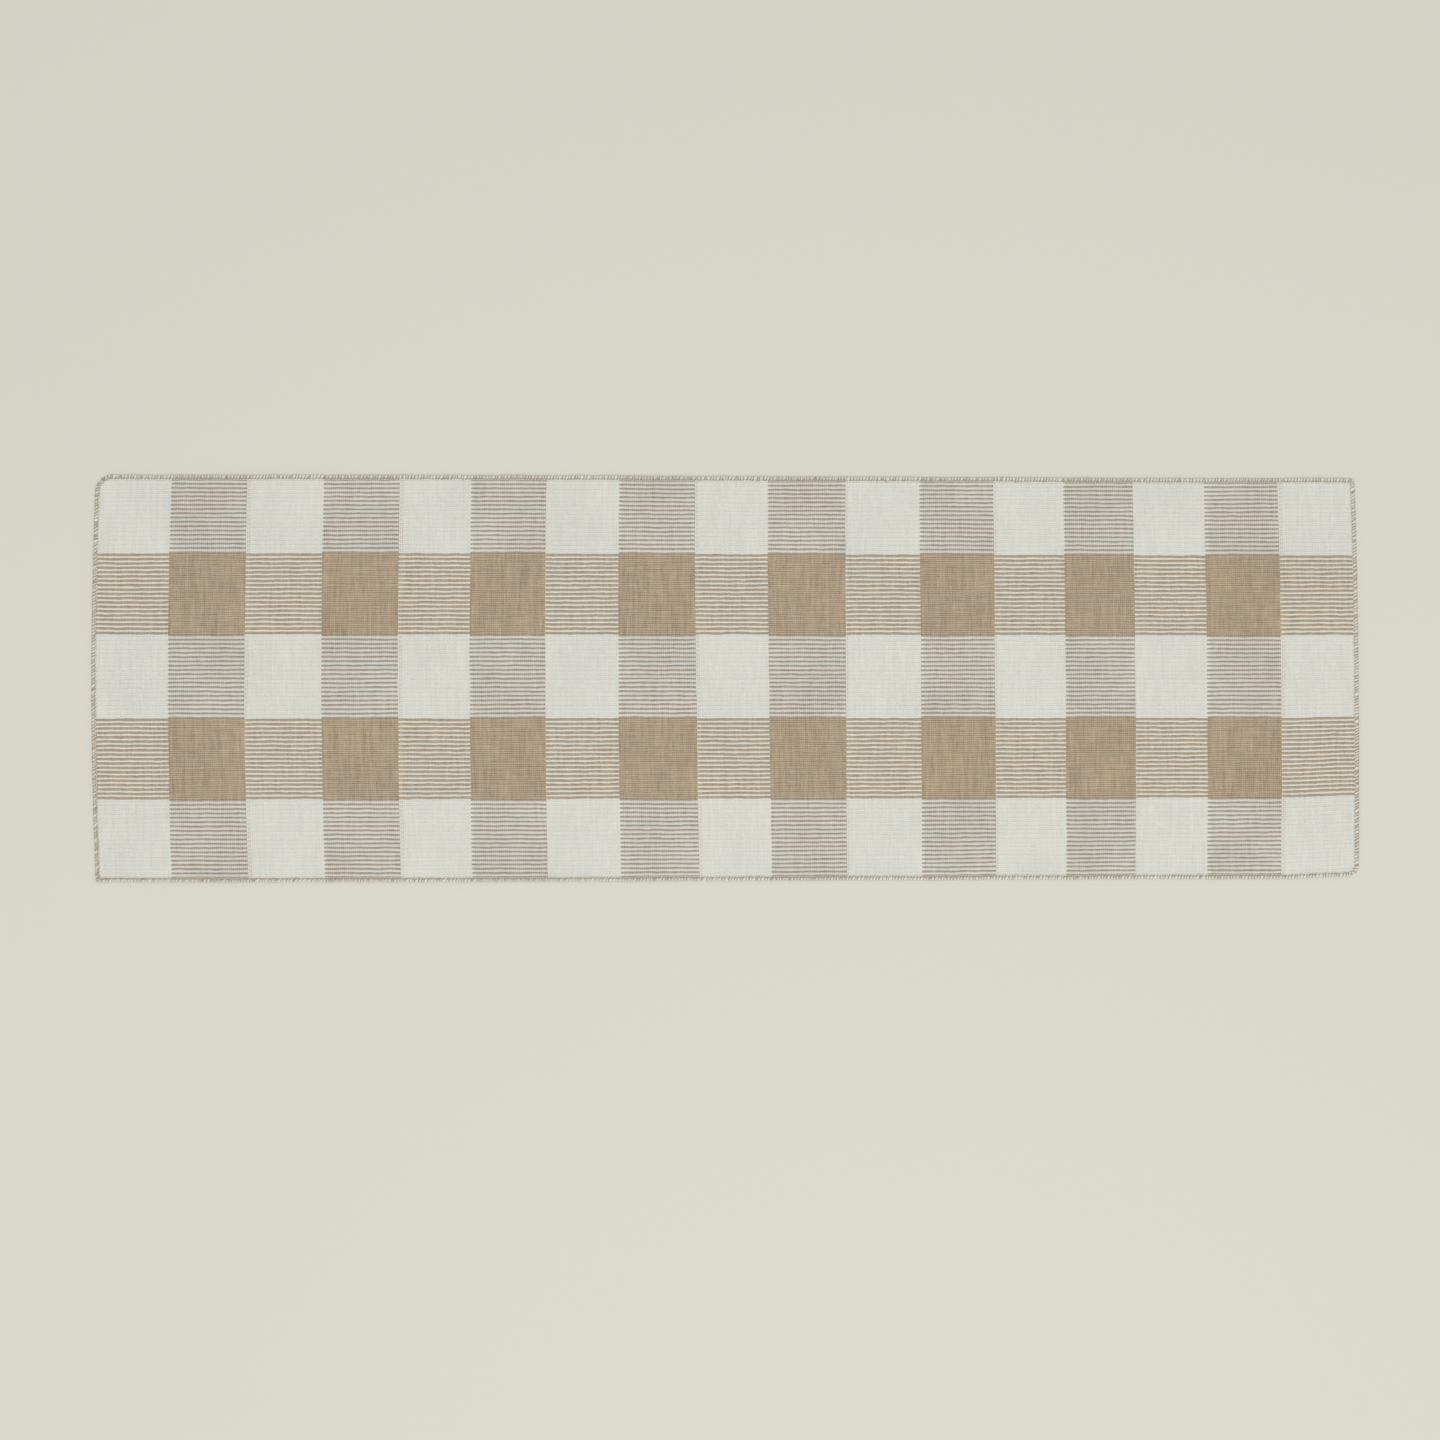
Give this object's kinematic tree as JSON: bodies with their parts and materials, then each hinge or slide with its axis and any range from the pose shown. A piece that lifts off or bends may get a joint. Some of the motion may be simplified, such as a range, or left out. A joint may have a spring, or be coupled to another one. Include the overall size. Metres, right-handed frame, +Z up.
{
  "type": "table runner",
  "caption": "Long flat cotton table runner in ribbed weave with natural and taupe gingham checks and an overlocked edge all round.",
  "frame": {"origin": "middle of the underside, on the surface that the cloth lies on", "axes": "+X along the runner, +Y across it towards the rear edge, +Z up out of the face"},
  "size_m": [1.4, 0.45, 0.0022],
  "materials": {
    "natural_cotton": "matt undyed cotton in rib weave",
    "taupe_cotton": "matt dyed cotton in rib weave",
    "overlock_thread": "matt spun sewing thread in overlock stitches"
  },
  "bodies": {
    "root": {"crossing_threads_01_natural": "natural_cotton", "crossing_threads_02_taupe": "taupe_cotton", "crossing_threads_03_natural": "natural_cotton", "crossing_threads_04_taupe": "taupe_cotton", "crossing_threads_05_natural": "natural_cotton", "crossing_threads_06_taupe": "taupe_cotton", "crossing_threads_07_natural": "natural_cotton", "crossing_threads_08_taupe": "taupe_cotton", "crossing_threads_09_natural": "natural_cotton", "crossing_threads_10_taupe": "taupe_cotton", "crossing_threads_11_natural": "natural_cotton", "crossing_threads_12_taupe": "taupe_cotton", "crossing_threads_13_natural": "natural_cotton", "crossing_threads_14_taupe": "taupe_cotton", "crossing_threads_15_natural": "natural_cotton", "crossing_threads_16_taupe": "taupe_cotton", "crossing_threads_17_natural": "natural_cotton", "lengthwise_cords_1_natural": "natural_cotton", "lengthwise_cords_2_taupe": "taupe_cotton", "lengthwise_cords_3_natural": "natural_cotton", "lengthwise_cords_4_taupe": "taupe_cotton", "lengthwise_cords_5_natural": "natural_cotton", "overlock_lower_looper_thread": "overlock_thread", "overlock_needle_thread": "overlock_thread", "overlock_upper_looper_thread": "overlock_thread"}
  },
  "joints": []
}
